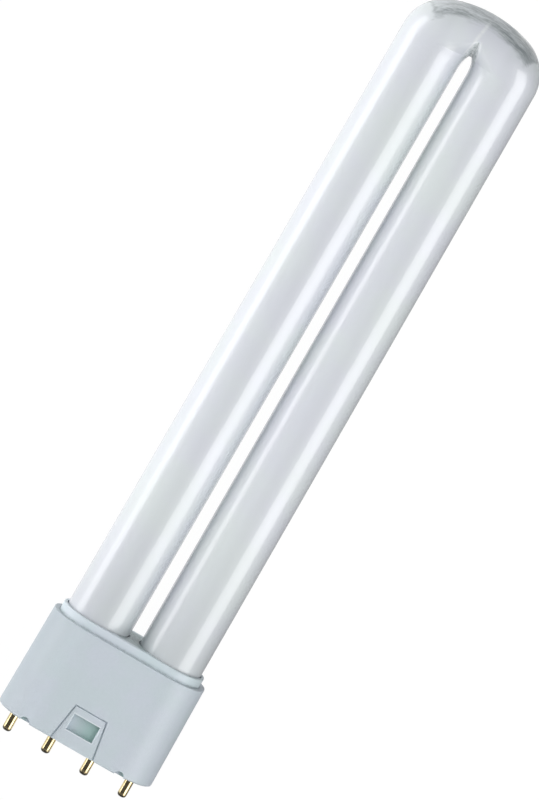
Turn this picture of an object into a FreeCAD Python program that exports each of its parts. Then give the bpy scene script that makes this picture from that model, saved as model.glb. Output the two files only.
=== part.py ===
import FreeCAD, Part
import math
import os
import Sketcher

# Single ended compact fluorescent lamp with a U shaped tube and a flat four pin cap.
# Millimetres. The origin is the centre of the cap's contact face. X runs along the lamp to
# its glass end, Y runs across the two legs, and Z is up from the broad side it lies on.

SIZES = {
    # glass tube
    "leg_radius": 8.75,
    "leg_gap": 3.25,
    "leg_lean": 0.29,
    "glass_end": 213.5,
    "arch_radius": 33.5,
    "corner_radius": 12.0,
    "stem_face": 11.5,
    "stem_round": 2.5,
    "tip_radius": 1.7,
    "tip_length": 3.4,
    "tip_round": 1.3,
    "web_length": 12.2,
    "gap_nose": 5.0,
    "valley_run": 6.0,
    "valley_round": 0.4,
    "valley_shallow": 0.25,
    "valley_tighten": 0.9,
    "web_edge": 0.3,
    # tube collar, built outwards from the legs it holds
    "cement_gap": 0.3,
    "collar_wall": 0.725,
    "collar_flat": 0.9,
    "collar_start": 14.5,
    "lip_height": 2.4,
    "lip_edge": 0.35,
    "coring_wall": 1.0,
    "coring_roof": 4.0,
    "cement_length": 9.0,
    "cement_setback": 1.5,
    # cap housing, built outwards from the collar
    "collar_gap": 0.1,
    "cap_wall": 1.4,
    "cap_draft": 0.35,
    "cap_height": 28.1,
    "cap_floor": 2.6,
    "cap_edge": 0.5,
    "rim_edge": 0.3,
    "ledge_depth": 0.8,
    "ramp_height": 10.6,
    "ramp_width_rim": 12.8,
    "ramp_width_top": 9.2,
    "ramp_depth_rim": 0.4,
    "ramp_depth_top": 0.15,
    "ramp_line": 0.35,
    "ramp_line_depth": 0.75,
    "latch_start": 3.8,
    "latch_length": 4.55,
    "latch_width": 7.25,
    "latch_depth": 2.0,
    "latch_bevel": 0.45,
    "backing_wall": 0.8,
    "backing_rim": 1.4,
    "notch_spacing": 27.3,
    "notch_radius": 1.3,
    "notch_depth": 2.4,
    # contact pins
    "pin_pitch": 11.15,
    "pin_radius": 1.2,
    "pin_root_radius": 1.4,
    "pin_reach": 6.2,
    "pin_nose": 0.8,
    "pin_tip_wall": 1.8,
    "pin_flange_radius": 1.9,
    "pin_flange": 0.7,
    "pin_collet": 1.6,
    "pin_collet_radius": 1.0,
    "pin_bore": 0.5,
    "pin_fit": 0.05,
    "boss_radius": 2.9,
    "boss_height": 0.8,
    # lead wires
    "wire_radius": 0.3,
    "wire_spread": 8.0,
    "wire_bend": 0.9,
    "wire_straight": 0.9,
}

PIN_COUNT = 4
NOSE_SECTIONS = 5
NOSE_POWER = 3
VALLEY_SECTIONS = 5
QUARTER_TURN = 90
OVERCUT = 1.0
TOUCH = 0.01
UP = FreeCAD.Vector(0, 0, 1)

# Lengths that follow from the sizes above, in the sheet's names
LEG_PLACE = "(leg_radius + leg_gap / 2)"
BEND_PLACE = f"({LEG_PLACE} - leg_lean)"
GAP_END = "(glass_end - web_length)"
NOSE_START = f"({GAP_END} - gap_nose)"
TIP_PLACE = "sqrt((leg_radius + valley_round)^2 - (valley_round + web_edge)^2)"
COLLAR_HALF = "(leg_radius + cement_gap + collar_wall)"
LIP_TOP = "(cap_height + lip_height)"
CAP_GROWTH = "(collar_gap + cap_wall + cap_draft)"
CAP_HALF = f"({COLLAR_HALF} + {CAP_GROWTH})"
CAVITY_HALF = f"({COLLAR_HALF} + collar_gap - ledge_depth)"
PIN_SEAT = "(cap_floor + boss_height)"
PIN_INNER_END = f"({PIN_SEAT} + pin_flange + pin_collet)"
BORE_FLOOR = "(pin_tip_wall - pin_reach)"

doc = FreeCAD.newDocument("lamp")
sheet = doc.addObject("Spreadsheet::Sheet", "Sizes")
for row, (alias, value) in enumerate(SIZES.items(), start=1):
    sheet.set(f"A{row}", alias)
    sheet.set(f"B{row}", str(value))
    sheet.setAlias(f"B{row}", alias)
doc.recompute()


def size(expression):
    """Value of an expression in the sheet's names, in millimetres."""
    probe = sheet.evalExpression(expression)
    return float(getattr(probe, "Value", probe))


def named(expression):
    """The same expression as other objects write it, with each name led by the sheet's."""
    words = []
    word = ""
    for letter in expression + " ":
        if letter.isalnum() or letter == "_":
            word += letter
            continue
        words.append("Sizes." + word if word in SIZES else word)
        words.append(letter)
        word = ""
    return "".join(words).strip()


def bind(thing, prop, expression):
    thing.setExpression(prop, named(expression))


def new_body(label):
    body = doc.addObject("PartDesign::Body", label)
    body.Label = label
    return body


def new_sketch(body, name, role, offset="0"):
    """Sketch on one of the body's own origin planes, moved along the plane's normal."""
    plane = next(item for item in body.Origin.OriginFeatures if item.Role == role)
    sketch = body.newObject("Sketcher::SketchObject", name)
    sketch.AttachmentSupport = [(plane, "")]
    sketch.MapMode = "FlatFace"
    bind(sketch, "AttachmentOffset.Base.z", offset)
    return sketch


def rule(sketch, *parts):
    return sketch.addConstraint(Sketcher.Constraint(*parts))


def dimension(sketch, name, expression, kind, *parts):
    index = sketch.addConstraint(Sketcher.Constraint(kind, *parts, size(expression)))
    sketch.renameConstraint(index, name)
    bind(sketch, "Constraints." + name, expression)


def line(sketch, start, end):
    return sketch.addGeometry(Part.LineSegment(point(*start), point(*end)), False)


def arc(sketch, centre, radius, first, last):
    circle = Part.Circle(point(*centre), UP, radius)
    return sketch.addGeometry(Part.ArcOfCircle(circle, first, last), False)


def point(across, along):
    return FreeCAD.Vector(across, along, 0)


def close_ring(sketch, *steps):
    """Join pieces into a closed outline; a step is a piece, its first end and its last end."""
    for (shape, _, last), (follower, first, _) in zip(steps, steps[1:] + steps[:1]):
        rule(sketch, "Coincident", shape, last, follower, first)


def place_point(sketch, shape, end, across, along):
    """Tie a point of the sketch to two signed distances from the sketch's own origin."""
    for kind, axis, expression in (("DistanceX", -2, across), ("DistanceY", -1, along)):
        value = size(expression)
        if expression == "0":
            rule(sketch, "PointOnObject", shape, end, axis)
        elif value < 0:
            dimension(sketch, f"{kind}_{shape}_{end}", f"-({expression})", kind, shape, end, -1, 1)
        else:
            dimension(sketch, f"{kind}_{shape}_{end}", expression, kind, -1, 1, shape, end)


def circle_at(sketch, radius, across="0", along="0"):
    ring = Part.Circle(point(size(across), size(along)), UP, size(radius))
    shape = sketch.addGeometry(ring, False)
    dimension(sketch, f"radius_{shape}", radius, "Radius", shape)
    if across == along == "0":
        rule(sketch, "Coincident", shape, 3, -1, 1)
    else:
        place_point(sketch, shape, 3, across, along)


def pin_places():
    """Distances of the pins from the middle of the cap, in a row across it."""
    return [f"{index - (PIN_COUNT - 1) / 2} * pin_pitch" for index in range(PIN_COUNT)]


def leg_places():
    return ["-" + LEG_PLACE, LEG_PLACE]


def polygon(sketch, corners):
    """Closed outline of straight lines through corners given as pairs of expressions."""
    spots = [(size(across), size(along)) for across, along in corners]
    sides = [line(sketch, spots[turn], spots[(turn + 1) % len(spots)])
             for turn in range(len(spots))]
    for turn, side in enumerate(sides):
        rule(sketch, "Coincident", side, 2, sides[(turn + 1) % len(sides)], 1)
    for side, (across, along) in zip(sides, corners):
        place_point(sketch, side, 1, across, along)


def box_outline(sketch, low, high, half_width):
    """Rectangle centred on the vertical axis, between two heights."""
    half, bottom, top = size(half_width), size(low), size(high)
    base = line(sketch, (-half, bottom), (half, bottom))
    right = line(sketch, (half, bottom), (half, top))
    roof = line(sketch, (half, top), (-half, top))
    left = line(sketch, (-half, top), (-half, bottom))
    for first, second in ((base, right), (right, roof), (roof, left), (left, base)):
        rule(sketch, "Coincident", first, 2, second, 1)
    rule(sketch, "Vertical", right)
    rule(sketch, "Symmetric", base, 1, base, 2, -2)
    rule(sketch, "Symmetric", roof, 1, roof, 2, -2)
    dimension(sketch, "half_width", half_width, "DistanceX", -1, 1, base, 2)
    dimension(sketch, "low", low, "DistanceY", -1, 1, base, 2)
    dimension(sketch, "high", high, "DistanceY", -1, 1, roof, 1)


def rounded_outline(sketch, width, height, corner):
    """Rectangle with four equal round corners, centred on the lamp's axis."""
    half_w, half_h, r = size(width) / 2, size(height) / 2, size(corner)
    flat_w, flat_h = half_w - r, half_h - r
    quarter = math.pi / 2
    base = line(sketch, (-flat_w, -half_h), (flat_w, -half_h))
    right = line(sketch, (half_w, -flat_h), (half_w, flat_h))
    roof = line(sketch, (flat_w, half_h), (-flat_w, half_h))
    left = line(sketch, (-half_w, flat_h), (-half_w, -flat_h))
    centres = ((flat_w, -flat_h), (flat_w, flat_h), (-flat_w, flat_h), (-flat_w, -flat_h))
    corners = [arc(sketch, centre, r, (turn - 1) * quarter, turn * quarter)
               for turn, centre in enumerate(centres)]
    sides = (base, right, roof, left)
    for turn, bend in enumerate(corners):
        rule(sketch, "Tangent", sides[turn], 2, bend, 1)
        rule(sketch, "Tangent", bend, 2, sides[(turn + 1) % len(sides)], 1)
        if turn:
            rule(sketch, "Equal", corners[0], bend)
    rule(sketch, "Horizontal", base)
    rule(sketch, "Horizontal", roof)
    rule(sketch, "Vertical", right)
    rule(sketch, "Vertical", left)
    rule(sketch, "Symmetric", base, 1, roof, 1, -1, 1)
    dimension(sketch, "corner", corner, "Radius", corners[0])
    dimension(sketch, "width", width, "DistanceX", left, 1, right, 1)
    dimension(sketch, "height", height, "DistanceY", base, 1, roof, 1)


def pad(body, name, sketch, length):
    feature = body.newObject("PartDesign::Pad", name)
    feature.Profile = sketch
    bind(feature, "Length", length)
    return feature


def pocket(body, name, sketch, length):
    """Cut that runs the way the sketch faces."""
    feature = body.newObject("PartDesign::Pocket", name)
    feature.Profile = sketch
    bind(feature, "Length", length)
    feature.Reversed = True
    return feature


def loft(body, name, kind, sections, ruled=False):
    feature = body.newObject("PartDesign::" + kind, name)
    feature.Profile = sections[0]
    feature.Sections = sections[1:]
    feature.Ruled = ruled
    return feature


def mirror(body, name, feature, role):
    """The same feature on the other side of one of the body's origin planes."""
    plane = next(item for item in body.Origin.OriginFeatures if item.Role == role)
    twin = body.newObject("PartDesign::Mirrored", name)
    twin.Originals = [feature]
    twin.MirrorPlane = (plane, [""])
    body.Tip = twin
    return twin


def edges_where(shape, test):
    return [f"Edge{number}" for number, edge in enumerate(shape.Edges, start=1) if test(edge)]


def at_x(edge, place):
    box = edge.BoundBox
    return abs(box.XMin - place) < TOUCH and abs(box.XMax - place) < TOUCH


def dress(body, name, kind, prop, amount, test):
    """Fillet or chamfer on the edges of the body's present shape that pass the test."""
    doc.recompute()
    base = body.Tip
    feature = body.newObject("PartDesign::" + kind, name)
    feature.Base = (base, edges_where(base.Shape, test))
    bind(feature, prop, amount)
    return feature


# The bend's outline seen from the front: two corners and a wide arch, which the leg's
# centre line follows. The corners start a little beyond the gap's nose.
BEND_START = ("(glass_end - arch_radius + sqrt((arch_radius - corner_radius)^2"
              f" - ({BEND_PLACE} + leg_radius - corner_radius)^2))")


def bend_line(sketch, closed):
    """Centre line of the bend from where the gap narrows, closed across for the glass
    between the legs."""
    half = size(BEND_PLACE)
    arch = size("arch_radius - leg_radius")
    corner = size("corner_radius - leg_radius")
    start, nose = size(BEND_START), size(NOSE_START)
    arch_centre = size("glass_end - arch_radius")
    side = half - corner
    lean = math.atan2(side, start - arch_centre)
    lower = arc(sketch, (start, -side), corner, -math.pi / 2, -lean)
    middle = arc(sketch, (arch_centre, 0), arch, -lean, lean)
    upper = arc(sketch, (start, side), corner, lean, math.pi / 2)
    upper_leg = line(sketch, (start, half), (nose, half))
    lower_leg = line(sketch, (nose, -half), (start, -half))
    rule(sketch, "Tangent", lower_leg, 2, lower, 1)
    rule(sketch, "Tangent", lower, 2, middle, 1)
    rule(sketch, "Tangent", middle, 2, upper, 1)
    rule(sketch, "Tangent", upper, 2, upper_leg, 1)
    rule(sketch, "Equal", lower, upper)
    rule(sketch, "PointOnObject", middle, 3, -1)
    rule(sketch, "Horizontal", upper_leg)
    rule(sketch, "Symmetric", upper_leg, 2, lower_leg, 1, -1)
    dimension(sketch, "corner", "corner_radius - leg_radius", "Radius", upper)
    dimension(sketch, "arch", "arch_radius - leg_radius", "Radius", middle)
    dimension(sketch, "side", BEND_PLACE, "DistanceY", -1, 1, upper_leg, 2)
    dimension(sketch, "nose", NOSE_START, "DistanceX", -1, 1, upper_leg, 2)
    dimension(sketch, "arch_centre", "glass_end - arch_radius", "DistanceX", -1, 1, middle, 3)
    if closed:
        back = line(sketch, (nose, half), (nose, -half))
        rule(sketch, "Coincident", upper_leg, 2, back, 1)
        rule(sketch, "Coincident", back, 2, lower_leg, 1)


def nose_section(body, name, done):
    """What is missing between the legs, above and below, cut across the gap's narrow end.

    done runs from 0 where the legs are still round and straight to 1 at the gap's end. The
    legs keep their circle and draw together, slowly at first.
    """
    spread = f"({BEND_PLACE} - ({BEND_PLACE} - {TIP_PLACE}) * {done}^{NOSE_POWER})"
    out, r = size(spread), size("leg_radius")
    top = r + OVERCUT
    sketch = new_sketch(body, name, "YZ_Plane", f"{GAP_END} - gap_nose * (1 - {done})")
    roof = line(sketch, (out, top), (-out, top))
    left_top = line(sketch, (-out, top), (-out, r))
    left_leg = arc(sketch, (-out, 0), r, -math.pi / 2, math.pi / 2)
    left_low = line(sketch, (-out, -r), (-out, -top))
    base = line(sketch, (-out, -top), (out, -top))
    right_low = line(sketch, (out, -top), (out, -r))
    right_leg = arc(sketch, (out, 0), r, math.pi / 2, 3 * math.pi / 2)
    right_top = line(sketch, (out, r), (out, top))
    close_ring(sketch, (roof, 1, 2), (left_top, 1, 2), (left_leg, 2, 1), (left_low, 1, 2),
               (base, 1, 2), (right_low, 1, 2), (right_leg, 2, 1), (right_top, 1, 2))
    for side in (left_top, left_low, right_top, right_low):
        rule(sketch, "Vertical", side)
    for leg in (left_leg, right_leg):
        rule(sketch, "PointOnObject", leg, 3, -1)
        rule(sketch, "Vertical", leg, 3, leg, 1)
    rule(sketch, "Vertical", left_leg, 1, left_leg, 2)
    rule(sketch, "Horizontal", base)
    rule(sketch, "Equal", left_leg, right_leg)
    rule(sketch, "Symmetric", roof, 1, roof, 2, -2)
    rule(sketch, "Symmetric", roof, 1, base, 2, -1)
    dimension(sketch, "leg", "leg_radius", "Radius", right_leg)
    dimension(sketch, "spread", spread, "DistanceX", -1, 1, right_leg, 3)
    dimension(sketch, "top", f"leg_radius + {OVERCUT}", "DistanceY", -1, 1, roof, 1)
    return sketch


def valley_section(body, name, done):
    """What is missing above the glass between the legs, cut across the bend at one place.

    done runs from 0 at the gap's end to 1 at the crown. Each side leaves the top of a leg
    level, turns down and runs into a narrow hollow, whose floor climbs as a quarter wave. The
    turn is the leg's own circle at first and gets tighter as the floor climbs.
    """
    climb = f"(leg_radius - valley_shallow - web_edge) * sin({QUARTER_TURN} * {done})"
    centre = f"(valley_round + web_edge + {climb})"
    turn = f"(leg_radius - valley_tighten * {climb})"
    bowl, height, r, crest = size("valley_round"), size(centre), size(turn), size("leg_radius")
    above = height - (crest - r)
    out = math.sqrt((r + bowl) ** 2 - above ** 2)
    top = crest + OVERCUT
    lean = math.atan2(above, out)
    sketch = new_sketch(body, name, "YZ_Plane", f"{GAP_END} + valley_run * {done}")
    lid = line(sketch, (-out, top), (out, top))
    right = line(sketch, (out, top), (out, crest))
    round_right = arc(sketch, (out, crest - r), r, math.pi / 2, math.pi - lean)
    floor = arc(sketch, (0, height), bowl, math.pi + lean, 2 * math.pi - lean)
    round_left = arc(sketch, (-out, crest - r), r, lean, math.pi / 2)
    left = line(sketch, (-out, crest), (-out, top))
    rule(sketch, "Coincident", lid, 2, right, 1)
    rule(sketch, "Coincident", right, 2, round_right, 1)
    rule(sketch, "Tangent", round_right, 2, floor, 2)
    rule(sketch, "Tangent", floor, 1, round_left, 1)
    rule(sketch, "Coincident", round_left, 2, left, 1)
    rule(sketch, "Coincident", left, 2, lid, 1)
    rule(sketch, "Vertical", right)
    rule(sketch, "Vertical", left)
    rule(sketch, "Vertical", round_right, 3, right, 2)
    rule(sketch, "Horizontal", round_right, 3, round_left, 3)
    rule(sketch, "PointOnObject", floor, 3, -2)
    rule(sketch, "Symmetric", lid, 1, lid, 2, -2)
    rule(sketch, "Equal", round_right, round_left)
    dimension(sketch, "centre", centre, "DistanceY", -1, 1, floor, 3)
    dimension(sketch, "top", f"leg_radius + {OVERCUT}", "DistanceY", -1, 1, right, 1)
    dimension(sketch, "crest", "leg_radius", "DistanceY", -1, 1, right, 2)
    dimension(sketch, "turn", turn, "Radius", round_right)
    dimension(sketch, "hollow", "valley_round", "Radius", floor)
    return sketch


def discharge_tube():
    """Sealed glass: two legs that lean together a little, a short moulded bend and, in each
    leg's closed foot, the stub of its exhaust tube."""
    body = new_body("discharge_tube")
    between = new_sketch(body, "between_legs", "XY_Plane", "-leg_radius")
    bend_line(between, closed=True)
    pad(body, "middle", between, "2 * leg_radius")

    path = new_sketch(body, "bend_path", "XY_Plane")
    bend_line(path, closed=False)
    half_round = new_sketch(body, "half_round", "YZ_Plane", NOSE_START)
    side, r = size(BEND_PLACE), size("leg_radius")
    outer = arc(half_round, (side, 0), r, -math.pi / 2, math.pi / 2)
    flat = line(half_round, (side, r), (side, -r))
    rule(half_round, "Coincident", outer, 2, flat, 1)
    rule(half_round, "Coincident", flat, 2, outer, 1)
    rule(half_round, "Vertical", flat)
    rule(half_round, "PointOnObject", outer, 3, flat)
    rule(half_round, "PointOnObject", outer, 3, -1)
    dimension(half_round, "radius", "leg_radius", "Radius", outer)
    dimension(half_round, "leg", BEND_PLACE, "DistanceX", -1, 1, outer, 3)
    bend = body.newObject("PartDesign::AdditivePipe", "bend")
    bend.Profile = half_round
    bend.Spine = path

    nose = [nose_section(body, f"nose_{step}", step / (NOSE_SECTIONS - 1))
            for step in range(NOSE_SECTIONS)]
    loft(body, "gap_narrowing", "SubtractiveLoft", nose)
    climb = [valley_section(body, f"valley_{step}", step / (VALLEY_SECTIONS - 1))
             for step in range(VALLEY_SECTIONS)]
    valley = loft(body, "valley", "SubtractiveLoft", climb)
    mirror(body, "valley_below", valley, "XY_Plane")

    low_end = new_sketch(body, "leg_above_cap", "YZ_Plane", LIP_TOP)
    circle_at(low_end, "leg_radius", LEG_PLACE)
    high_end = new_sketch(body, "leg_below_bend", "YZ_Plane", NOSE_START)
    circle_at(high_end, "leg_radius", BEND_PLACE)
    leg = loft(body, "leaning_leg", "AdditiveLoft", [low_end, high_end])
    mirror(body, "other_leg", leg, "XZ_Plane")

    legs = new_sketch(body, "legs", "YZ_Plane", "stem_face")
    stubs = new_sketch(body, "exhaust_stubs", "YZ_Plane", "stem_face - tip_length")
    for place in leg_places():
        circle_at(legs, "leg_radius", place)
        circle_at(stubs, "tip_radius", place)
    pad(body, "leg_pair", legs, f"{LIP_TOP} - stem_face")
    foot = size("stem_face")
    dress(body, "foot_round", "Fillet", "Radius", "stem_round", lambda edge: at_x(edge, foot))
    pad(body, "exhaust_tips", stubs, "tip_length")
    end = size("stem_face - tip_length")
    dress(body, "tip_ends", "Fillet", "Radius", "tip_round", lambda edge: at_x(edge, end))
    return body


def cap_outline(sketch, growth):
    """The collar's nearly round ended outline, grown evenly all round."""
    rounded_outline(
        sketch, f"2 * ({LEG_PLACE} + {COLLAR_HALF} + ({growth}))",
        f"2 * ({COLLAR_HALF} + ({growth}))", f"{COLLAR_HALF} - collar_flat + ({growth})")


def base_housing():
    """Moulded cap: a drafted cup with pin bosses, and on each broad side a ramp that ends in
    a latch pocket, with two half round notches in its rim beside it."""
    body = new_body("base_housing")
    face = new_sketch(body, "cap_face", "YZ_Plane")
    cap_outline(face, CAP_GROWTH)
    block = pad(body, "cap_block", face, "cap_height")
    bind(block, "TaperAngle", "-atan(cap_draft / cap_height)")
    rim = size("cap_height")
    dress(body, "face_edge", "Fillet", "Radius", "cap_edge", lambda edge: at_x(edge, 0))
    dress(body, "rim_round", "Fillet", "Radius", "rim_edge", lambda edge: at_x(edge, rim))

    hollow = new_sketch(body, "cap_hollow", "YZ_Plane", "cap_floor")
    cap_outline(hollow, "collar_gap - ledge_depth")
    pocket(body, "hollow", hollow, f"cap_height - cap_floor + {OVERCUT}")
    socket = new_sketch(body, "collar_socket", "YZ_Plane", "collar_start")
    cap_outline(socket, "collar_gap")
    pocket(body, "socket", socket, f"cap_height - collar_start + {OVERCUT}")

    backing = new_sketch(body, "latch_backing", "YZ_Plane", "cap_floor")
    box_outline(backing, f"{CAVITY_HALF} - backing_wall", f"{CAVITY_HALF} + backing_wall / 2",
                "latch_width / 2 + backing_rim")
    behind = pad(body, "backing", backing, "latch_start + latch_length + backing_rim - cap_floor")
    mirror(body, "backing_below", behind, "XY_Plane")

    bosses = new_sketch(body, "pin_bosses", "YZ_Plane", "cap_floor")
    holes = new_sketch(body, "pin_holes", "YZ_Plane")
    for place in pin_places():
        circle_at(bosses, "boss_radius", place)
        circle_at(holes, "pin_root_radius + pin_fit", place)
    pad(body, "bosses", bosses, "boss_height")
    pocket(body, "pin_bores", holes, PIN_SEAT)

    ramp_face = f"{CAP_HALF} - cap_draft * ramp_height / cap_height"
    ramp_low = new_sketch(body, "ramp_at_rim", "YZ_Plane")
    box_outline(ramp_low, f"{CAP_HALF} - ramp_depth_rim", f"{CAP_HALF} + {OVERCUT}",
                "ramp_width_rim / 2")
    ramp_high = new_sketch(body, "ramp_at_top", "YZ_Plane", "ramp_height")
    box_outline(ramp_high, f"{ramp_face} - ramp_depth_top", f"{ramp_face} + {OVERCUT}",
                "ramp_width_top / 2")
    ramp = loft(body, "ramp", "SubtractiveLoft", [ramp_low, ramp_high], ruled=True)
    mirror(body, "ramp_below", ramp, "XY_Plane")
    edge_line = new_sketch(body, "ramp_edge", "XY_Plane", f"{CAP_HALF} - ramp_line_depth")
    outer = ramp_corners("0")
    inner = ramp_corners("ramp_line")
    polygon(edge_line, outer + inner[::-1])
    score = pocket(body, "ramp_score", edge_line, f"ramp_line_depth + {OVERCUT}")
    mirror(body, "ramp_score_below", score, "XY_Plane")

    latch = new_sketch(body, "latch_outline", "YZ_Plane", "latch_start")
    box_outline(latch, f"{CAP_HALF} - latch_depth", f"{CAP_HALF} + {OVERCUT}", "latch_width / 2")
    recess = pocket(body, "latch", latch, "latch_length")
    mirror(body, "latch_below", recess, "XY_Plane")

    side = size("latch_width / 2")
    deep = size(f"{CAP_HALF} - latch_depth")
    dress(body, "latch_bevels", "Chamfer", "Size", "latch_bevel",
          lambda edge: is_latch_side(edge, side, deep))

    notches = new_sketch(body, "rim_notches", "XY_Plane", f"{CAP_HALF} - notch_depth")
    for place in ("-notch_spacing / 2", "notch_spacing / 2"):
        circle_at(notches, "notch_radius", "0", place)
    cut = pocket(body, "notches", notches, f"notch_depth + {OVERCUT}")
    mirror(body, "notches_below", cut, "XY_Plane")
    return body


def ramp_corners(inset):
    """The ramp's outline from one foot over its top to the other, drawn in by the inset."""
    foot = f"ramp_width_rim / 2 - {inset}"
    shoulder = f"ramp_width_top / 2 - {inset}"
    height = f"ramp_height - {inset}"
    below = f"-{OVERCUT}"
    return [(below, foot), (height, shoulder), (height, f"-({shoulder})"), (below, f"-({foot})")]


def is_latch_side(edge, side, deep):
    """True for the two edges of a latch pocket that run along the lamp, at its mouth."""
    box = edge.BoundBox
    on_side = abs(abs(box.YMin) - side) < TOUCH and box.YLength < TOUCH
    at_mouth = min(abs(box.ZMin), abs(box.ZMax)) > deep + TOUCH
    return on_side and at_mouth and box.XLength > box.ZLength


def tube_collar():
    """Moulded holder that stands in the housing: a lip, two bores for the legs and, from
    below, two round corings beside the web between them."""
    body = new_body("tube_collar")
    foot = new_sketch(body, "collar_foot", "YZ_Plane", "collar_start")
    cap_outline(foot, "0")
    pad(body, "collar_block", foot, f"{LIP_TOP} - collar_start")
    top = size(LIP_TOP)
    dress(body, "lip_round", "Fillet", "Radius", "lip_edge", lambda edge: at_x(edge, top))
    bores = new_sketch(body, "leg_bores", "YZ_Plane", "collar_start")
    for place in leg_places():
        circle_at(bores, "leg_radius + cement_gap", place)
    pocket(body, "bores", bores, f"{LIP_TOP} - collar_start")
    span = f"({COLLAR_HALF} + leg_radius + cement_gap)"
    middle = f"({span} / 2 - {LEG_PLACE}^2 / (2 * {span}))"
    corings = new_sketch(body, "coring_holes", "YZ_Plane", "collar_start")
    for sign in ("-", ""):
        circle_at(corings, f"{COLLAR_HALF} - coring_wall - {middle}", "0", sign + middle)
    pocket(body, "corings", corings, f"{LIP_TOP} - collar_start - coring_roof")
    return body


def cement_ring(label, place):
    """Cement that fills the gap between one leg and its bore in the collar."""
    body = new_body(label)
    ring = new_sketch(body, label + "_section", "YZ_Plane",
                      f"{LIP_TOP} - cement_setback - cement_length")
    circle_at(ring, "leg_radius + cement_gap")
    circle_at(ring, "leg_radius")
    pad(body, label + "_length", ring, "cement_length")
    bind(body, "Placement.Base.y", place)
    return body


def contact_pin(label, place):
    """Turned brass pin: a round nose, a thicker root pressed into the cap's floor, a flange
    that seats on the boss and a bore for the lead wire."""
    body = new_body(label)
    profile = new_sketch(body, label + "_profile", "XY_Plane")
    polygon(profile, [
        ("-pin_reach", "0"), ("-pin_reach", "pin_radius"), ("0", "pin_radius"),
        ("0", "pin_root_radius"), (PIN_SEAT, "pin_root_radius"),
        (PIN_SEAT, "pin_flange_radius"), (f"{PIN_SEAT} + pin_flange", "pin_flange_radius"),
        (f"{PIN_SEAT} + pin_flange", "pin_collet_radius"), (PIN_INNER_END, "pin_collet_radius"),
        (PIN_INNER_END, "pin_bore"), (BORE_FLOOR, "pin_bore"), (BORE_FLOOR, "0")])
    turned = body.newObject("PartDesign::Revolution", label + "_turned")
    turned.Profile = profile
    turned.ReferenceAxis = (profile, ["H_Axis"])
    nose = size("-pin_reach")
    dress(body, label + "_nose", "Fillet", "Radius", "pin_nose", lambda edge: at_x(edge, nose))
    bind(body, "Placement.Base.y", place)
    return body


def swept_arc(sketch, centre, radius, first, sweep):
    """Arc that may run either way round; gives its ends in the order they are reached."""
    shape = arc(sketch, centre, radius, min(first, first + sweep), max(first, first + sweep))
    return (shape, 1, 2) if sweep > 0 else (shape, 2, 1)


def lead_wire(label, stem_place, pin_place):
    """Wire from a stem's face to the floor of a pin's bore, with two easy bends."""
    body = new_body(label)
    route = new_sketch(body, label + "_route", "XY_Plane")
    start, end = size("stem_face"), size(BORE_FLOOR)
    near, far = size(stem_place), size(pin_place)
    leaves, enters = size("stem_face - wire_straight"), size(f"{PIN_INNER_END} + wire_straight")
    radius = size("wire_bend")
    side = math.copysign(1, far - near)
    run, rise = leaves - enters, abs(far - near)
    lean = (math.asin(2 * radius / math.hypot(run, 2 * radius - rise))
            - math.atan2(2 * radius - rise, run))
    quarter = math.pi / 2
    centre_in = (leaves, near + side * radius)
    centre_out = (enters, far - side * radius)
    reach = (radius * math.sin(lean), side * radius * math.cos(lean))
    first = line(route, (start, near), (leaves, near))
    bend_in = swept_arc(route, centre_in, radius, -side * quarter, -side * lean)
    slant = line(route, (centre_in[0] - reach[0], centre_in[1] - reach[1]),
                 (centre_out[0] + reach[0], centre_out[1] + reach[1]))
    bend_out = swept_arc(route, centre_out, radius, side * (quarter - lean), side * lean)
    last = line(route, (enters, far), (end, far))
    rule(route, "Tangent", first, 2, bend_in[0], bend_in[1])
    rule(route, "Tangent", bend_in[0], bend_in[2], slant, 1)
    rule(route, "Tangent", slant, 2, bend_out[0], bend_out[1])
    rule(route, "Tangent", bend_out[0], bend_out[2], last, 1)
    rule(route, "Horizontal", first)
    rule(route, "Horizontal", last)
    rule(route, "Equal", bend_in[0], bend_out[0])
    dimension(route, "bend", "wire_bend", "Radius", bend_in[0])
    dimension(route, "leaves", "stem_face - wire_straight", "DistanceX", -1, 1, first, 2)
    dimension(route, "enters", f"{PIN_INNER_END} + wire_straight", "DistanceX", -1, 1, last, 1)
    place_point(route, first, 1, "stem_face", stem_place)
    place_point(route, last, 2, BORE_FLOOR, pin_place)
    section = new_sketch(body, label + "_section", "YZ_Plane", "stem_face")
    circle_at(section, "wire_radius", stem_place)
    drawn = body.newObject("PartDesign::AdditivePipe", label + "_drawn")
    drawn.Profile = section
    drawn.Spine = route
    return body


def stem_places():
    """Where the four wires leave the glass: two beside each other in each leg's foot."""
    return [f"{leg} {side} wire_spread / 2" for leg in leg_places() for side in "-+"]


def main():
    pieces = [discharge_tube(), base_housing(), tube_collar()]
    for index, place in enumerate(leg_places(), start=1):
        pieces.append(cement_ring(f"cement_ring_{index}", place))
    for index, place in enumerate(pin_places(), start=1):
        pieces.append(contact_pin(f"contact_pin_{index}", place))
    for index, ends in enumerate(zip(stem_places(), pin_places()), start=1):
        pieces.append(lead_wire(f"lead_wire_{index}", *ends))
    doc.recompute()
    faults = [item.Name for item in doc.Objects if {"Invalid", "Error"} & set(item.State)]
    if faults:
        raise RuntimeError("failed objects: " + ", ".join(faults))
    os.makedirs("parts", exist_ok=True)
    for piece in pieces:
        shape = piece.Shape
        if shape.isNull() or not shape.isValid():
            raise RuntimeError(piece.Label + " has no valid shape")
        shape.exportStep(f"parts/{piece.Label}.step")
        print(piece.Label, len(shape.Solids), round(shape.Volume, 1), shape.BoundBox)


main()
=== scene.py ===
import math

import bpy
from mathutils import Matrix, Vector


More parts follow.
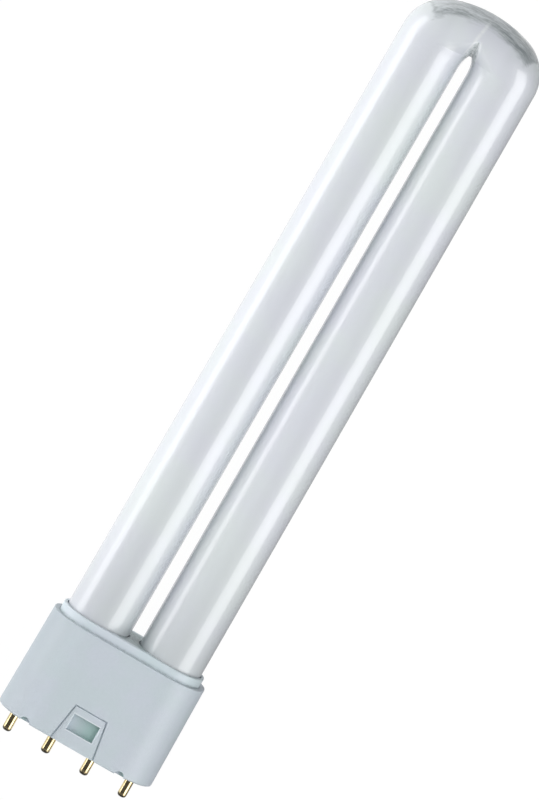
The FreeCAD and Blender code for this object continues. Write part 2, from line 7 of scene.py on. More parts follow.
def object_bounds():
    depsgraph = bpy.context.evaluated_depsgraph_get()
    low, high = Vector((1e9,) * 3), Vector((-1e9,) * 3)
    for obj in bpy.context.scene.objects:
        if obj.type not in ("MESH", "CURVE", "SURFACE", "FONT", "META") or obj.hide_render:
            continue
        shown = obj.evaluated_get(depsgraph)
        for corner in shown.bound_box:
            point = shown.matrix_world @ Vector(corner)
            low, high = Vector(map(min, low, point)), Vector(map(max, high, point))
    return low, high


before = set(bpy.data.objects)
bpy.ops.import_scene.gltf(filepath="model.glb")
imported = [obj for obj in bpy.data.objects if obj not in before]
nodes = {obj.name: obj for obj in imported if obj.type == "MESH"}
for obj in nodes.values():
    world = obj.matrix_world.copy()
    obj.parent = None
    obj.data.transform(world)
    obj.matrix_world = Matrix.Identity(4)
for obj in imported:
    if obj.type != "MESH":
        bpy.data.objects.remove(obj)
cad_low, cad_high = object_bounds()

# Discharge tube: one glass tube bent double, sealed at both feet, with a white powder coat
# baked on its inside wall. The coat is what shows; the clear glass over it gives the gloss.
# The bend is pressed in a mould, which leaves the glass thick, streaked and greyer there; its
# crown also carries painted shade and painted highlights.
MILLIMETRES_PER_METRE = 1000.0


def new_material(name):
    material = bpy.data.materials.new(name)
    material.use_nodes = True
    material.node_tree.nodes.clear()
    return material


def node(tree, kind, **settings):
    """New shader node; a setting whose name is an input socket goes there, linked or set."""
    made = tree.nodes.new(kind)
    for key, value in settings.items():
        name = key.replace("_", " ")
        if key in made.bl_rna.properties:
            setattr(made, key, value)
            continue
        socket = made.inputs[name] if name in made.inputs else made.inputs[int(key[1:])]
        if isinstance(value, bpy.types.NodeSocket):
            tree.links.new(value, socket)
        else:
            socket.default_value = value
    return made


def reckon(tree, operation, first, second=0.0):
    """One sum on two values, such as MAXIMUM; gives the result's socket."""
    return node(tree, "ShaderNodeMath", operation=operation, _0=first, _1=second).outputs[0]


def times(tree, first, *others):
    """Product of two or more values, such as masks and the share they are to have."""
    for other in others:
        first = reckon(tree, "MULTIPLY", first, other)
    return first


def plus(tree, first, second):
    return reckon(tree, "ADD", first, second)


def minus(tree, first, second):
    return reckon(tree, "SUBTRACT", first, second)


def unsigned(tree, value):
    return reckon(tree, "ABSOLUTE", value)


def fade(tree, value, start, end, most=1.0):
    """Soft step of a value: nothing at its start, all of it at its end."""
    return node(tree, "ShaderNodeMapRange", interpolation_type="SMOOTHSTEP", Value=value,
                From_Min=start, From_Max=end, To_Max=most).outputs["Result"]


def even(tree, value, low, high):
    """A value that runs from none to one, laid out evenly from low to high."""
    return node(tree, "ShaderNodeMapRange", Value=value, To_Min=low, To_Max=high).outputs[0]


def blend(tree, share, first, second):
    """Two colours mixed by a share of the second."""
    return node(tree, "ShaderNodeMix", data_type="RGBA", _0=share, _6=first,
                _7=second).outputs[2]


def lamp_place(tree):
    """Place on the lamp in millimetres, as one vector and as its three parts."""
    corner = node(tree, "ShaderNodeTexCoord")
    place = node(tree, "ShaderNodeVectorMath", operation="SCALE",
                 _0=corner.outputs["Object"], Scale=MILLIMETRES_PER_METRE).outputs[0]
    parts = node(tree, "ShaderNodeSeparateXYZ", Vector=place).outputs
    return place, parts[0], parts[1], parts[2]


def new_effect(name, inputs, outputs):
    """Empty shader group with named inputs and outputs."""
    effect = bpy.data.node_groups.new(name, "ShaderNodeTree")
    for direction, sockets in (("INPUT", inputs), ("OUTPUT", outputs)):
        for socket, kind in sockets.items():
            effect.interface.new_socket(socket, in_out=direction,
                                        socket_type="NodeSocket" + kind)
    return effect, node(effect, "NodeGroupInput").outputs, node(effect, "NodeGroupOutput").inputs


def effect_on(tree, effect, **settings):
    return node(tree, "ShaderNodeGroup", node_tree=effect, **settings).outputs[0]


def relief_of(tree, height, strength, depth):
    """Normal of a surface with small relief; depth is in metres."""
    return node(tree, "ShaderNodeBump", Strength=strength, Distance=depth,
                Height=height).outputs[0]


def finish_with(tree, **settings):
    """Surface shader and output of a material."""
    surface = node(tree, "ShaderNodeBsdfPrincipled", **settings)
    node(tree, "ShaderNodeOutputMaterial", Surface=surface.outputs[0])


def cover(material, *names):
    """Lay a material on the lamp's own solids, shaded smooth up to their sharp edges."""
    for name in names:
        mesh = nodes[name].data
        mesh.materials.clear()
        mesh.materials.append(material)
        mesh.polygons.foreach_set("use_smooth", [True] * len(mesh.polygons))


# Effect: tone that drifts slowly over a surface, from none to all.
CLOUD_DETAIL = 3.0
CLOUD_ROUGHNESS = 0.55
CLOUD_NONE, CLOUD_ALL = 0.34, 0.66

tone_drift, given, put_out = new_effect(
    "tone_drift", {"Place": "Vector", "Patches per mm": "Float"}, {"Drift": "Float"})
cloud = node(tone_drift, "ShaderNodeTexNoise", Vector=given["Place"],
             Scale=given["Patches per mm"], Detail=CLOUD_DETAIL, Roughness=CLOUD_ROUGHNESS)
drift = fade(tone_drift, cloud.outputs["Fac"], CLOUD_NONE, CLOUD_ALL)
tone_drift.links.new(drift, put_out["Drift"])

# Effect: grain, streaks or turning lines, by how many marks fall on a millimetre each way.
MARK_DETAIL = 4.0
MARK_ROUGHNESS = 0.6
MARK_NONE, MARK_ALL = 0.28, 0.72

surface_marks, given, put_out = new_effect(
    "surface_marks", {"Place": "Vector", "Marks per mm": "Vector"}, {"Mark": "Float"})
stretched = node(surface_marks, "ShaderNodeVectorMath", operation="MULTIPLY",
                 _0=given["Place"], _1=given["Marks per mm"])
grain = node(surface_marks, "ShaderNodeTexNoise", Vector=stretched.outputs[0], Scale=1.0,
             Detail=MARK_DETAIL, Roughness=MARK_ROUGHNESS)
mark = fade(surface_marks, grain.outputs["Fac"], MARK_NONE, MARK_ALL)
surface_marks.links.new(mark, put_out["Mark"])

# the powder coat, which drifts between two near whites
COAT_LAVENDER = (0.700, 0.725, 0.780, 1.0)
COAT_GREENISH = (0.700, 0.750, 0.755, 1.0)
COAT_PATCHES = 0.05

coated_glass = new_material("coated_glass")
tree = coated_glass.node_tree
place, x, y, z = lamp_place(tree)
side = unsigned(tree, y)
height = unsigned(tree, z)
drift = effect_on(tree, tone_drift, Place=place, Patches_per_mm=COAT_PATCHES)
coat = blend(tree, drift, COAT_LAVENDER, COAT_GREENISH)

# the coat greys toward the feet, where the electrodes burn
COAT_USED = (0.40, 0.42, 0.46, 1.0)
USED_START = 82.0
USED_REACH = 54.0
USED_CURVE = 2.0
USED_MOST = 0.45

toward_foot = reckon(tree, "DIVIDE", minus(tree, USED_START, x), USED_REACH)
toward_foot = reckon(tree, "MAXIMUM", toward_foot, 0.0)
used = times(tree, reckon(tree, "POWER", toward_foot, USED_CURVE), USED_MOST)
coat = blend(tree, used, coat, COAT_USED)

# the crown's steep face, partly where the coat ran thin in streaks and partly painted shade
# and painted dark reflection: a crescent that is narrower in its middle, reaches further on one
# side and has a dark lower edge
BARE_GLASS_SHADE_DARK = (0.20, 0.235, 0.245, 1.0)
BARE_GLASS_SHADE_PALE = (0.60, 0.64, 0.66, 1.0)
STREAKS = (0.35, 0.16, 1.3)
FINE_STREAKS = (1.1, 0.5, 3.0)
STREAK_MIDDLE = 0.5
STREAK_CONTRAST = 0.60
STREAK_DARKER = 0.20
CRESCENT_START = 203.6
CRESCENT_SOFT_START = 2.0
CRESCENT_HEIGHT = 6.7
CRESCENT_SPREAD = 12.6
CRESCENT_END = 17.2
CRESCENT_WAIST = 0.35
WAIST_SIDE = 5.5
LEFT_REACH = 0.4
LEFT_START, LEFT_FULL = 5.0, 13.0
CRESCENT_OUT, CRESCENT_IN = -0.5, 1.1
CRESCENT_SHARE = 0.92
ARM_START = 10.0
ARM_LOSS = 0.4
PAINTED_LIGHT_LEFT = 0.35
PAINTED_LIGHT_START, PAINTED_LIGHT_FULL = -8.0, 14.0
DARK_EDGE_SHARE = 0.45
DARK_EDGE_INNER, DARK_EDGE_OUTER = 2.0, 1.0
DARK_EDGE_START, DARK_EDGE_FULL = 3.0, 8.0

streak = effect_on(tree, surface_marks, Place=place, Marks_per_mm=STREAKS)
fine_streak = effect_on(tree, surface_marks, Place=place, Marks_per_mm=FINE_STREAKS)
reach = minus(tree, fade(tree, side, CRESCENT_END, CRESCENT_SPREAD, CRESCENT_HEIGHT),
              fade(tree, side, WAIST_SIDE, 0.0, CRESCENT_WAIST))
reach = plus(tree, reach, minus(tree, streak, STREAK_MIDDLE))
reach = plus(tree, reach, fade(tree, y, LEFT_START, LEFT_FULL, LEFT_REACH))
inside = minus(tree, reach, height)
thin_coat_and_shade = times(tree, fade(tree, inside, CRESCENT_OUT, CRESCENT_IN),
             fade(tree, x, CRESCENT_START, CRESCENT_START + CRESCENT_SOFT_START),
             minus(tree, CRESCENT_SHARE, fade(tree, side, ARM_START, CRESCENT_END, ARM_LOSS)))
crescent_tone = minus(tree, times(tree, plus(tree, streak, fine_streak), STREAK_CONTRAST),
                  STREAK_DARKER)
# painted light: the crescent is paler toward +Y, the side the light comes from
crescent_tone = plus(tree, crescent_tone, fade(tree, y, PAINTED_LIGHT_START, PAINTED_LIGHT_FULL, PAINTED_LIGHT_LEFT))
dark_edge = times(tree, fade(tree, inside, DARK_EDGE_INNER, DARK_EDGE_OUTER),
                  fade(tree, side, DARK_EDGE_START, DARK_EDGE_FULL), DARK_EDGE_SHARE)
crescent_tone = minus(tree, crescent_tone, dark_edge)
coat = blend(tree, thin_coat_and_shade, coat, blend(tree, crescent_tone, BARE_GLASS_SHADE_DARK, BARE_GLASS_SHADE_PALE))

# painted shade in the pinched hollow at the end of the gap, mottled, and a painted highlight
# along its rim
HOLLOW_SHADE_DARK = (0.44, 0.49, 0.495, 1.0)
HOLLOW_SHADE_PALE = (0.93, 0.96, 0.97, 1.0)
MOTTLE = (0.9, 1.2, 0.9)
HOLLOW_START = 199.6
HOLLOW_END = 206.8
HOLLOW_WIDE = 2.0
HOLLOW_NARROW = 0.35
HOLLOW_OUT, HOLLOW_IN = 0.35, -0.25
HOLLOW_SOFT_START = 2.0
HOLLOW_SOFT_END = 0.6
RIM_WIDTH = 0.8
RIM_CREST = 0.3
RIM_SHARE = 0.8
RIM_START, RIM_FULL = 1.5, 3.5
HIGHLIGHT_PALE = (0.86, 0.89, 0.90, 1.0)

mottle = effect_on(tree, surface_marks, Place=place, Marks_per_mm=MOTTLE)
width = node(tree, "ShaderNodeMapRange", Value=x, From_Min=HOLLOW_START, From_Max=HOLLOW_END,
             To_Min=HOLLOW_WIDE, To_Max=HOLLOW_NARROW).outputs["Result"]
past_width = minus(tree, side, width)
# painted shade in the hollow
hollow_shade = times(tree, fade(tree, past_width, HOLLOW_OUT, HOLLOW_IN),
               fade(tree, x, HOLLOW_START, HOLLOW_START + HOLLOW_SOFT_START),
               fade(tree, x, HOLLOW_END, HOLLOW_END - HOLLOW_SOFT_END))
# painted highlight along the hollow's rim
rim_highlight = times(tree, fade(tree, past_width, 0.0, RIM_CREST),
            fade(tree, past_width, RIM_WIDTH, RIM_CREST, RIM_SHARE),
            fade(tree, x, HOLLOW_START + RIM_START, HOLLOW_START + RIM_FULL),
            fade(tree, x, HOLLOW_END + HOLLOW_SOFT_END, HOLLOW_END - HOLLOW_SOFT_END))
coat = blend(tree, rim_highlight, coat, HIGHLIGHT_PALE)
coat = blend(tree, hollow_shade, coat, blend(tree, mottle, HOLLOW_SHADE_DARK, HOLLOW_SHADE_PALE))

# painted highlight along the fold that runs on from the hollow over the crown, a little off the
# middle
FOLD_START = 1.2
FOLD_END = 212.4
FOLD_SOFT_END = 2.0
FOLD_SIDE = 0.85
FOLD_DRIFT = -0.18
FOLD_WIDTH = 0.82
FOLD_SHARE = 0.9
FOLD_BASE = 0.4
FOLD_STREAKS = 0.5
UPPER_START, UPPER_FULL = 0.0, 3.0

fold_line = plus(tree, times(tree, minus(tree, x, HOLLOW_END), FOLD_DRIFT), FOLD_SIDE)
off_line = unsigned(tree, minus(tree, y, fold_line))
upper = fade(tree, z, UPPER_START, UPPER_FULL)
fold_highlight = times(tree, fade(tree, off_line, FOLD_WIDTH, 0.0, FOLD_SHARE),
             fade(tree, x, HOLLOW_END - FOLD_START, HOLLOW_END),
             plus(tree, times(tree, fine_streak, FOLD_STREAKS), FOLD_BASE),
             fade(tree, x, FOLD_END, FOLD_END - FOLD_SOFT_END), upper)
coat = blend(tree, fold_highlight, coat, HIGHLIGHT_PALE)

# painted highlight: the glint on the leg's inner side, run on a little past where the valley
# starts
GLINT_PALE = (0.93, 0.96, 0.98, 1.0)
GLINT_SIDE = 5.4
GLINT_START, GLINT_FULL = 201.0, 201.4
GLINT_END = 203.8
GLINT_OUT, GLINT_IN = 2.3, 0.2
GLINT_SHARE = 0.9

off_glint = unsigned(tree, minus(tree, y, GLINT_SIDE))
painted_glint = times(tree, fade(tree, off_glint, GLINT_OUT, GLINT_IN, GLINT_SHARE),
                   upper, fade(tree, x, GLINT_START, GLINT_FULL),
                   fade(tree, x, GLINT_END, GLINT_START))
coat = blend(tree, painted_glint, coat, GLINT_PALE)

# the clear wall seen on edge, where the coat lies too deep to show
GLASS_EDGE = (0.38, 0.41, 0.44, 1.0)
EDGE_BLEND = 0.5
EDGE_START = 0.80
EDGE_SHARE = 0.9

on_edge = node(tree, "ShaderNodeLayerWeight", Blend=EDGE_BLEND).outputs["Facing"]
coat = blend(tree, fade(tree, on_edge, EDGE_START, 1.0, EDGE_SHARE), coat, GLASS_EDGE)

# drawn glass is rippled round the leg and pressed glass is lumpy; the clear gloss is softer on
# the pressed inner sides
RIPPLES = (0.02, 0.14, 0.14)
RIPPLE_HEIGHT = 0.10
LUMPS = (0.16, 0.16, 0.16)
LUMP_HEIGHT = 0.35
PIT_HEIGHT = 0.10
MOULD_START, MOULD_FULL = 186.0, 206.0
RELIEF_STRENGTH = 0.6
RELIEF_DEPTH = 0.0004
PRESSED_START, PRESSED_FULL = 198.0, 202.5
PRESSED_OUT, PRESSED_IN = 9.0, 6.5
PRESSED_GLOSS = 0.1
COAT_SHEEN_SHARP, COAT_SHEEN_SOFT = 0.42, 0.50
GLASS_INDEX = 1.75
CLEAR_ROUGHNESS = 0.09

ripple = effect_on(tree, surface_marks, Place=place, Marks_per_mm=RIPPLES)
lumps = effect_on(tree, surface_marks, Place=place, Marks_per_mm=LUMPS)
moulded = fade(tree, x, MOULD_START, MOULD_FULL)
pits = times(tree, reckon(tree, "MAXIMUM", thin_coat_and_shade, hollow_shade), times(tree, mottle, PIT_HEIGHT))
relief = plus(tree, times(tree, ripple, RIPPLE_HEIGHT), times(tree, lumps, moulded, LUMP_HEIGHT))
relief = plus(tree, relief, pits)
pressed = times(tree, fade(tree, x, PRESSED_START, PRESSED_FULL),
                fade(tree, side, PRESSED_OUT, PRESSED_IN))
finish_with(tree, Base_Color=coat, Roughness=even(tree, drift, COAT_SHEEN_SHARP, COAT_SHEEN_SOFT),
            IOR=GLASS_INDEX, Normal=relief_of(tree, relief, RELIEF_STRENGTH, RELIEF_DEPTH),
            Coat_Weight=even(tree, pressed, 1.0, PRESSED_GLOSS), Coat_Roughness=CLEAR_ROUGHNESS)
cover(coated_glass, "discharge_tube")

# Cap housing: a cup moulded in one piece from pale bluish grey plastic, with a satin skin,
# and cemented over the tube's feet and the collar. Each broad side has a ramp with a scored
# outline and a latch pocket. Its finely specked plastic has painted shade toward its +Y end.
CAP_BLUE = (0.565, 0.640, 0.675, 1.0)
CAP_LAVENDER = (0.585, 0.638, 0.700, 1.0)
CAP_PATCHES = 0.09
CAP_SPECK = (0.43, 0.52, 0.54, 1.0)
SPECKS = (1.3, 1.3, 1.3)
SPECK_SHARE = 0.10
CAP_END_SHADE = (0.40, 0.45, 0.49, 1.0)
END_SHADE_START, END_SHADE_FULL = 12.0, 20.5
END_SHADE_SHARE = 0.75
SKIN_GRAIN = (4.5, 4.5, 4.5)
SKIN_STRENGTH = 0.35
SKIN_DEPTH = 0.00006
SKIN_SHARP, SKIN_SOFT = 0.38, 0.50
PLASTIC_INDEX = 1.5


def finish_as_satin_plastic(tree, place, plastic):
    """Fine eroded skin of a plastic moulding."""
    skin = effect_on(tree, surface_marks, Place=place, Marks_per_mm=SKIN_GRAIN)
    finish_with(tree, Base_Color=plastic, Roughness=even(tree, skin, SKIN_SHARP, SKIN_SOFT),
                IOR=PLASTIC_INDEX, Normal=relief_of(tree, skin, SKIN_STRENGTH, SKIN_DEPTH))


cap_plastic = new_material("cap_plastic")
tree = cap_plastic.node_tree
place, x, y, z = lamp_place(tree)
side = unsigned(tree, y)
drift = effect_on(tree, tone_drift, Place=place, Patches_per_mm=CAP_PATCHES)
speckle = effect_on(tree, surface_marks, Place=place, Marks_per_mm=SPECKS)
plastic = blend(tree, drift, CAP_BLUE, CAP_LAVENDER)
plastic = blend(tree, times(tree, speckle, SPECK_SHARE), plastic, CAP_SPECK)
# painted shade toward the cap's +Y end
end_shade = fade(tree, y, END_SHADE_START, END_SHADE_FULL, END_SHADE_SHARE)
plastic = blend(tree, end_shade, plastic, CAP_END_SHADE)

# painted shade, greenish, on the floor of the latch pocket, darker toward -Y, where its wall
# shades it
SHADE_GREEN = (0.35, 0.50, 0.48, 1.0)
BROAD_SIDE = 11.62
BROAD_SIDE_DRAFT = 0.0125
RECESS_START, RECESS_FULL = 0.42, 1.6
RECESS_OUT, RECESS_IN = 7.0, 6.7
SHADE_CLEAR_SIDE, SHADE_FULL_SIDE = 5.0, -3.0
POCKET_SHADE_START, POCKET_SHADE_END = 3.3, 9.0
POCKET_SHADE_SOFT = 0.5

broad_side = minus(tree, BROAD_SIDE, times(tree, x, BROAD_SIDE_DRAFT))
depth = minus(tree, broad_side, unsigned(tree, z))
pocket_shade = times(tree, fade(tree, depth, RECESS_START, RECESS_FULL),
              fade(tree, side, RECESS_OUT, RECESS_IN),
              fade(tree, y, SHADE_CLEAR_SIDE, SHADE_FULL_SIDE),
              fade(tree, x, POCKET_SHADE_START - POCKET_SHADE_SOFT, POCKET_SHADE_START),
              fade(tree, x, POCKET_SHADE_END + POCKET_SHADE_SOFT, POCKET_SHADE_END))

# painted shade in the outer half of each half-round notch, near the broad sides
NOTCH_PLACE = 13.65
NOTCH_RADIUS = 1.38
NOTCH_SOFT = 0.05
NOTCH_INNER, NOTCH_OUTER = -0.6, 0.2
NOTCH_DEEP, NOTCH_MOUTH = 3.5, 1.5

aside = minus(tree, side, NOTCH_PLACE)
off_axis = reckon(tree, "SQRT", plus(tree, times(tree, aside, aside), times(tree, x, x)))
notch_shade = times(tree, fade(tree, off_axis, NOTCH_RADIUS, NOTCH_RADIUS - NOTCH_SOFT),
              fade(tree, aside, NOTCH_INNER, NOTCH_OUTER),
              fade(tree, depth, NOTCH_DEEP, NOTCH_MOUTH))
plastic = blend(tree, reckon(tree, "MAXIMUM", pocket_shade, notch_shade), plastic, SHADE_GREEN)

# painted highlight along the pocket's edge, where its bevel catches the light
EDGE_HIGHLIGHT_PALE = (0.86, 0.91, 0.93, 1.0)
EDGE_HIGHLIGHT_WIDTH = 0.34
EDGE_HIGHLIGHT_SHARE = 0.5
EDGE_HIGHLIGHT_DEPTH = 0.3
EDGE_HIGHLIGHT_OVER = 0.12
POCKET_HALF_WIDTH = 3.625
POCKET_HALF_HEIGHT = 2.275
POCKET_MIDDLE = 6.1

past_side = minus(tree, side, POCKET_HALF_WIDTH)
past_end = minus(tree, unsigned(tree, minus(tree, x, POCKET_MIDDLE)), POCKET_HALF_HEIGHT)
past_edge = reckon(tree, "MAXIMUM", past_side, past_end)
edge_highlight = times(tree, fade(tree, past_edge, EDGE_HIGHLIGHT_WIDTH, EDGE_HIGHLIGHT_WIDTH / 2.0),
             fade(tree, past_edge, -EDGE_HIGHLIGHT_OVER, 0.0),
             fade(tree, depth, RECESS_START + EDGE_HIGHLIGHT_DEPTH, RECESS_START, EDGE_HIGHLIGHT_SHARE))
plastic = blend(tree, edge_highlight, plastic, EDGE_HIGHLIGHT_PALE)
finish_as_satin_plastic(tree, place, plastic)
cover(cap_plastic, "base_housing")

# Tube collar: a second moulding of the same family of plastic, a shade lighter, that fits
# round both legs like a pair of spectacles. It sits in the cap's mouth, and its lip shows.
# The seam below the lip and the face between the legs carry mottled painted shade.
COLLAR_BLUE = (0.610, 0.700, 0.730, 1.0)
COLLAR_LAVENDER = (0.630, 0.690, 0.745, 1.0)
COLLAR_SHADE = (0.24, 0.31, 0.30, 1.0)
COLLAR_PATCHES = 0.12
LIP_TOP = 30.5
SEAM_START, SEAM_FULL = 1.6, 2.5
SEAM_SHARE = 0.55
SEAM_MOTTLE = (0.8, 0.8, 0.8)
GAP_MOTTLE = (1.7, 1.7, 1.7)
GAP_SHADE_OUT, GAP_SHADE_IN = 4.6, 3.6
GAP_SHADE_HIGH, GAP_SHADE_LOW = 9.0, 7.0
LIP_FACE_START, LIP_FACE_FULL = 0.5, 0.1
GAP_MOTTLE_BASE = 0.3
GAP_MOTTLE_SHARE = 0.65

collar_plastic = new_material("collar_plastic")
tree = collar_plastic.node_tree
place, x, y, z = lamp_place(tree)
drift = effect_on(tree, tone_drift, Place=place, Patches_per_mm=COLLAR_PATCHES)
plastic = blend(tree, drift, COLLAR_BLUE, COLLAR_LAVENDER)
seam_mottle = effect_on(tree, surface_marks, Place=place, Marks_per_mm=SEAM_MOTTLE)
# painted shade in the seam below the lip
seam_shade = fade(tree, x, LIP_TOP - SEAM_START, LIP_TOP - SEAM_FULL, SEAM_SHARE)
plastic = blend(tree, times(tree, seam_shade, seam_mottle), plastic, COLLAR_SHADE)
gap_mottle = effect_on(tree, surface_marks, Place=place, Marks_per_mm=GAP_MOTTLE)
gap_mottle = plus(tree, times(tree, gap_mottle, GAP_MOTTLE_SHARE), GAP_MOTTLE_BASE)
# painted shade on the lip's face between the legs
shade_between_legs = times(tree, fade(tree, unsigned(tree, y), GAP_SHADE_OUT, GAP_SHADE_IN),
                     fade(tree, unsigned(tree, z), GAP_SHADE_HIGH, GAP_SHADE_LOW),
                     fade(tree, x, LIP_TOP - LIP_FACE_START, LIP_TOP - LIP_FACE_FULL))
plastic = blend(tree, times(tree, shade_between_legs, gap_mottle), plastic, COLLAR_SHADE)
finish_as_satin_plastic(tree, place, plastic)
cover(collar_plastic, "tube_collar")

# Cement rings: grey basing cement, a filled resin put in as a paste and baked hard between
# each leg and the collar. It is matt and gritty.
CEMENT_PALE = (0.56, 0.57, 0.55, 1.0)
CEMENT_DARK = (0.27, 0.27, 0.26, 1.0)
GRIT = (2.2, 2.2, 2.2)
GRIT_SHARE = 0.6
DAMP_PATCHES = 0.2
DAMP_SHARE = 0.3
GRIT_STRENGTH = 0.8
GRIT_DEPTH = 0.00015
CEMENT_SHARP, CEMENT_SOFT = 0.82, 0.95

cement = new_material("cement")
tree = cement.node_tree
place = lamp_place(tree)[0]
grit = effect_on(tree, surface_marks, Place=place, Marks_per_mm=GRIT)
damp = effect_on(tree, tone_drift, Place=place, Patches_per_mm=DAMP_PATCHES)
paste = blend(tree, times(tree, grit, GRIT_SHARE), CEMENT_PALE, CEMENT_DARK)
paste = blend(tree, times(tree, damp, DAMP_SHARE), paste, CEMENT_DARK)
finish_with(tree, Base_Color=paste, Roughness=even(tree, grit, CEMENT_SHARP, CEMENT_SOFT),
            Normal=relief_of(tree, grit, GRIT_STRENGTH, GRIT_DEPTH))
cover(cement, "cement_ring_1", "cement_ring_2")

# Contact pins: four turned brass pins, pressed into the cap's bosses and hollow for the lead
# wires. The tips are crimped and soldered, so they are blackened; the shanks have tarnished
# and carry fine turning lines.
BRASS = (0.88, 0.74, 0.44, 1.0)
BRASS_TARNISH = (0.40, 0.29, 0.13, 1.0)
TARNISH_PATCHES = 0.55
TARNISH_SHARE = 0.45
TURNING_LINES = (9.0, 0.4, 0.4)
TURNING_SHARE = 0.20
TURNING_STRENGTH = 0.15
TURNING_DEPTH = 0.00002
TIP_BLACK = (0.016, 0.013, 0.010, 1.0)
TIP_START, TIP_FULL = -5.2, -6.0
TIP_SHARE = 0.95
SOOT = (1.6, 1.6, 1.6)
SOOT_REACH = 0.5
BRASS_ROUGHNESS = 0.10
TARNISH_ROUGHER = 0.06
TIP_ROUGHER = 0.30
TIP_METAL = 0.4

pin_brass = new_material("pin_brass")
tree = pin_brass.node_tree
place, x = lamp_place(tree)[:2]
tarnish = effect_on(tree, tone_drift, Place=place, Patches_per_mm=TARNISH_PATCHES)
turning = effect_on(tree, surface_marks, Place=place, Marks_per_mm=TURNING_LINES)
metal = blend(tree, times(tree, tarnish, TARNISH_SHARE), BRASS, BRASS_TARNISH)
metal = blend(tree, times(tree, turning, TURNING_SHARE), metal, BRASS_TARNISH)
soot = effect_on(tree, surface_marks, Place=place, Marks_per_mm=SOOT)
burnt = fade(tree, minus(tree, x, times(tree, soot, SOOT_REACH)), TIP_START, TIP_FULL, TIP_SHARE)
metal = blend(tree, burnt, metal, TIP_BLACK)
gloss = plus(tree, times(tree, tarnish, TARNISH_ROUGHER),
             plus(tree, times(tree, burnt, TIP_ROUGHER), BRASS_ROUGHNESS))
finish_with(tree, Base_Color=metal, Roughness=gloss, Metallic=even(tree, burnt, 1.0, TIP_METAL),
            Normal=relief_of(tree, turning, TURNING_STRENGTH, TURNING_DEPTH))
cover(pin_brass, "contact_pin_1", "contact_pin_2", "contact_pin_3", "contact_pin_4")

# Lead wires: drawn nickel iron wire from the electrodes, through the glass feet, into the
# hollow pins. It is dull, with fine lines along it and a brown oxide near the hot glass.
WIRE_METAL = (0.58, 0.56, 0.53, 1.0)
WIRE_OXIDE = (0.30, 0.22, 0.15, 1.0)
DRAWN_LINES = (0.3, 12.0, 12.0)
DRAWN_SHARE = 0.3
HEAT_START, HEAT_FULL = 6.0, 11.5
HEAT_SHARE = 0.6
DRAWN_STRENGTH = 0.5
DRAWN_DEPTH = 0.00002
WIRE_SHARP, WIRE_SOFT = 0.28, 0.42

wire_metal = new_material("wire_metal")
tree = wire_metal.node_tree
place, x = lamp_place(tree)[:2]
drawn = effect_on(tree, surface_marks, Place=place, Marks_per_mm=DRAWN_LINES)
heat = fade(tree, x, HEAT_START, HEAT_FULL, HEAT_SHARE)
metal = blend(tree, heat, WIRE_METAL, WIRE_OXIDE)
metal = blend(tree, times(tree, drawn, DRAWN_SHARE), metal, WIRE_OXIDE)
finish_with(tree, Base_Color=metal, Roughness=even(tree, drawn, WIRE_SHARP, WIRE_SOFT),
            Metallic=1.0, Normal=relief_of(tree, drawn, DRAWN_STRENGTH, DRAWN_DEPTH))
cover(wire_metal, "lead_wire_1", "lead_wire_2", "lead_wire_3", "lead_wire_4")

# Table: a plain sheet of white paper that glows, so that it stays white under the lamp and in the
# narrow gap between the legs. What the glass and brass see of its glow is pale on the lamp's
# left and darker on its right.
TABLE_REACH = 6.0
TABLE_GLOW = 0.965
TABLE_SHOWN = 0.05
TABLE_BOUNCE = 0.25
TABLE_GLOW_LEFT = 0.70
DARK_START, DARK_END = -0.030, -0.010
FIBRES_PER_METRE = 40.0
FIBRE_DETAIL = 3.0
FIBRE_DARK, FIBRE_PALE = 0.97, 1.03
PAPER_ROUGHNESS = 0.9
PAPER_SHEEN = 0.1
WHITE = (1.0, 1.0, 1.0, 1.0)

table_mesh = bpy.data.meshes.new("table")
table_mesh.from_pydata(
    [(-TABLE_REACH, -TABLE_REACH, 0.0), (TABLE_REACH, -TABLE_REACH, 0.0),
     (TABLE_REACH, TABLE_REACH, 0.0), (-TABLE_REACH, TABLE_REACH, 0.0)],
    [], [(0, 1, 2, 3)])
table = bpy.data.objects.new("table", table_mesh)
table.location.z = cad_low.z
bpy.context.scene.collection.objects.link(table)
paper = new_material("table_paper")
tree = paper.node_tree
corner = node(tree, "ShaderNodeTexCoord").outputs["Object"]
fibre = node(tree, "ShaderNodeTexNoise", Vector=corner, Scale=FIBRES_PER_METRE,
             Detail=FIBRE_DETAIL)
seen = node(tree, "ShaderNodeLightPath").outputs["Is Camera Ray"]
paleness = node(tree, "ShaderNodeMix", data_type="FLOAT", _0=seen, _2=TABLE_BOUNCE,
                _3=TABLE_SHOWN).outputs[0]
tone = times(tree, paleness, even(tree, fibre.outputs["Fac"], FIBRE_DARK, FIBRE_PALE))
tint = node(tree, "ShaderNodeCombineColor", Red=tone, Green=tone, Blue=tone)
across_lamp = node(tree, "ShaderNodeSeparateXYZ", Vector=corner).outputs[1]
glow_left = fade(tree, across_lamp, DARK_START, DARK_END, TABLE_GLOW_LEFT)
glow = node(tree, "ShaderNodeMix", data_type="FLOAT", _0=seen, _2=glow_left, _3=TABLE_GLOW)
finish_with(tree, Base_Color=tint.outputs[0], Roughness=PAPER_ROUGHNESS,
            Specular_IOR_Level=PAPER_SHEEN, Emission_Color=WHITE,
            Emission_Strength=glow.outputs[0])
table_mesh.materials.append(paper)

# Studio light: long soft boxes beside the lamp, low on its left and higher on its right, as
# the bright lines along the glass show, and a dim room above. Each box is split in one for
# gloss and one for soft light, so that each can be as bright as the photograph has it.
LIGHT_RADIUS = 0.9
ROOM_AIR = (0.93, 0.95, 1.0, 1.0)
ROOM_LIGHT = 0.10
ROOM_SHOWN = 0.985


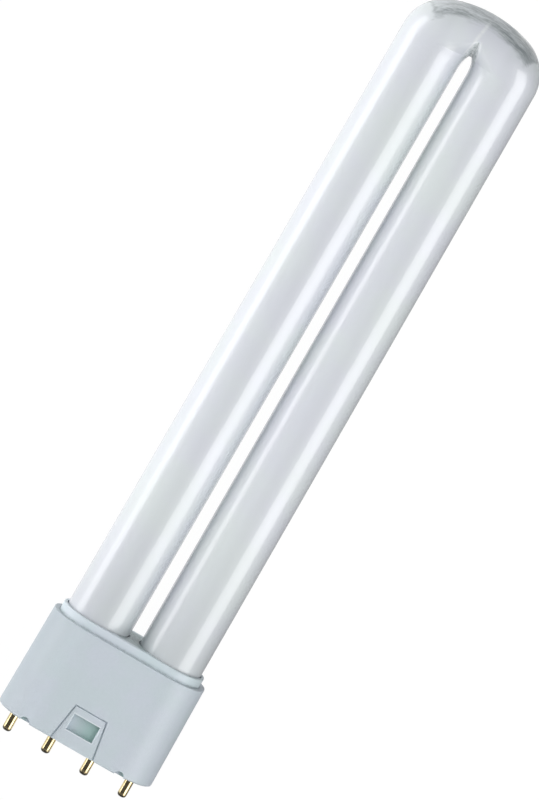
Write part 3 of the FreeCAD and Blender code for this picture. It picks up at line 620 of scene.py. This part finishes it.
def soft_box(name, centre_degrees, width_degrees, start, end, radiance, in_gloss):
    """Long light on a cylinder round the lamp's axis, between two places along the lamp;
    degrees run from straight up to -Y."""
    turn = math.radians(centre_degrees)
    outward = Vector((0.0, -math.sin(turn), math.cos(turn)))
    width = 2.0 * LIGHT_RADIUS * math.tan(math.radians(width_degrees) / 2.0)
    data = bpy.data.lights.new(name, "AREA")
    data.shape = "RECTANGLE"
    data.size = end - start
    data.size_y = width
    data.energy = radiance * math.pi * data.size * width
    light = bpy.data.objects.new(name, data)
    along_lamp = Vector((1.0, 0.0, 0.0))
    middle = along_lamp * (start + end) / 2.0
    light.matrix_world = Matrix.Translation(middle + outward * LIGHT_RADIUS) @ Matrix(
        (along_lamp, outward.cross(along_lamp), outward)).transposed().to_4x4()
    light.visible_camera = False
    light.visible_glossy = in_gloss
    light.visible_diffuse = not in_gloss
    bpy.context.scene.collection.objects.link(light)


soft_box("left_gloss", centre_degrees=-76.5, width_degrees=27.0, start=-0.20, end=0.70,
         radiance=2.8, in_gloss=True)
soft_box("right_gloss", centre_degrees=59.0, width_degrees=42.0, start=-0.50, end=0.70,
         radiance=2.8, in_gloss=True)
soft_box("left_soft", centre_degrees=-75.0, width_degrees=28.0, start=-0.70, end=0.90,
         radiance=3.8, in_gloss=False)
soft_box("right_soft", centre_degrees=52.0, width_degrees=40.0, start=-0.70, end=0.90,
         radiance=1.9, in_gloss=False)
soft_box("top_soft", centre_degrees=0.0, width_degrees=90.0, start=-0.70, end=0.90,
         radiance=0.72, in_gloss=False)

room = bpy.data.worlds.new("room")
room.use_nodes = True
tree = room.node_tree
tree.nodes.clear()
seen = node(tree, "ShaderNodeLightPath").outputs["Is Camera Ray"]
strength = node(tree, "ShaderNodeMix", data_type="FLOAT", _0=seen, _2=ROOM_LIGHT, _3=ROOM_SHOWN)
air = node(tree, "ShaderNodeBackground", Color=ROOM_AIR, Strength=strength.outputs[0])
node(tree, "ShaderNodeOutputWorld", Surface=air.outputs[0])
bpy.context.scene.world = room

# Camera: it looks down on the lamp's upper broad side from far off, leaning a little toward
# the glass end, and is turned so that the lamp runs from the picture's lower left to its
# upper right.
PICTURE_TALL = 800
PIXELS_PER_METRE = 3980.0
LEAN = math.radians(9.0)
TURN = math.radians(60.03)
AIM = Vector((0.10047, 0.00066, 0.0))
LENS = 800.0
SENSOR = 36.0
CLIP_NEAR, CLIP_FAR = 0.1, 10.0

along = Vector((math.cos(LEAN), 0.0, -math.sin(LEAN)))
across = Vector((0.0, -1.0, 0.0))
right = math.cos(TURN) * along + math.sin(TURN) * across
up = math.sin(TURN) * along - math.cos(TURN) * across
back = right.cross(up)
distance = PICTURE_TALL / PIXELS_PER_METRE * LENS / SENSOR
camera_data = bpy.data.cameras.new("camera")
camera_data.lens = LENS
camera_data.sensor_width = SENSOR
camera_data.clip_start = distance * CLIP_NEAR
camera_data.clip_end = distance * CLIP_FAR
camera = bpy.data.objects.new("camera", camera_data)
camera.matrix_world = Matrix.Translation(AIM + back * distance) @ Matrix(
    (right, up, back)).transposed().to_4x4()
bpy.context.scene.collection.objects.link(camera)
bpy.context.scene.camera = camera
bpy.context.scene.view_settings.view_transform = "Standard"
